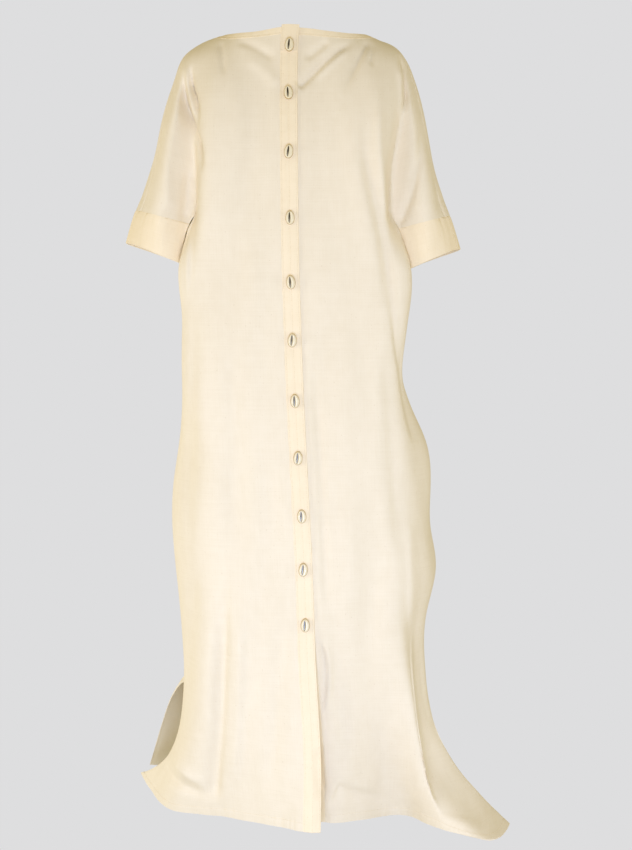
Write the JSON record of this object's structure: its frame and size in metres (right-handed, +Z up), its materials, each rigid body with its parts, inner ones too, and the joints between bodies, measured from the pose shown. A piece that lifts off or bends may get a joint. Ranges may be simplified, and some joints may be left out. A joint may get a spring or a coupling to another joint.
{
  "type": "grand boubou robe",
  "caption": "Floor-length boubou robe of unbleached cotton, worn and hollow, with a boat neck, elbow sleeves with deep cuffs, a full placket with cowrie shell buttons and side vents.",
  "frame": {"origin": "between the wearer's shoulders at the height of the neck edge, where the shoulders hold the robe up", "axes": "+Z up along the robe, +X across it towards the wearer's left, +Y towards the back, so the buttoned front faces -Y"},
  "size_m": [0.6979, 0.4921, 1.4357],
  "materials": {
    "unbleached_cotton": "plain weave calico, undyed, with slubs and flecks, matte",
    "doubled_cotton": "the same calico doubled and topstitched, matte",
    "cowrie_shell": "natural cowrie shell, softly glossy"
  },
  "bodies": {
    "root": {"front_right": "unbleached_cotton", "front_left": "unbleached_cotton", "back": "unbleached_cotton", "cuff_right": "doubled_cotton", "cuff_left": "doubled_cotton", "neckband_right": "doubled_cotton", "neckband_left": "doubled_cotton", "neckband_back": "doubled_cotton", "placket_under": "doubled_cotton", "placket_top": "doubled_cotton", "placket_head": "doubled_cotton", "button_01": "cowrie_shell", "button_02": "cowrie_shell", "button_03": "cowrie_shell", "button_04": "cowrie_shell", "button_05": "cowrie_shell", "button_06": "cowrie_shell", "button_07": "cowrie_shell", "button_08": "cowrie_shell", "button_09": "cowrie_shell", "button_10": "cowrie_shell", "button_11": "cowrie_shell"}
  },
  "joints": []
}
